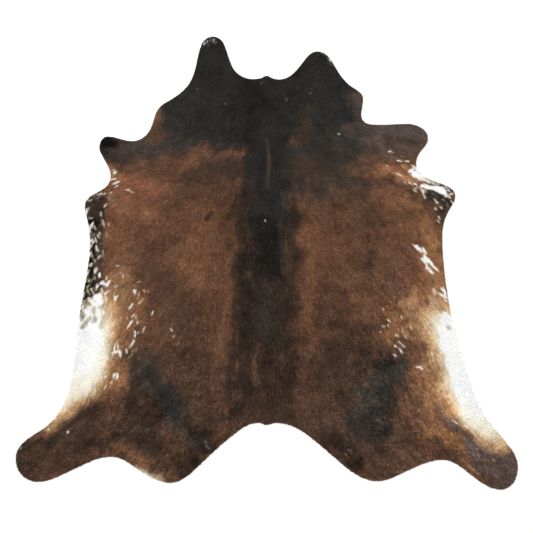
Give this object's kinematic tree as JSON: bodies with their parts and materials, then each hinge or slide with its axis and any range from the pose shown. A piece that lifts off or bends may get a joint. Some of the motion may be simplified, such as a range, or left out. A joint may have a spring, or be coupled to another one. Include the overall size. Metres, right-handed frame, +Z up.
{
  "type": "cowhide rug",
  "caption": "Flat hair-on hide rug with legs, neck and rump outline, to lie on a floor.",
  "frame": {"origin": "under the middle of the rug's own box, on the floor it lies on", "axes": "+Z up, +Y along the back's line towards the neck, +X to the right seen from above"},
  "size_m": [2.013, 2.354, 0.007],
  "materials": {
    "hair_on_leather": "short brindle hair, brown and black with white belly patches, on tanned leather"
  },
  "bodies": {
    "root": {"hide": "hair_on_leather"}
  },
  "joints": []
}
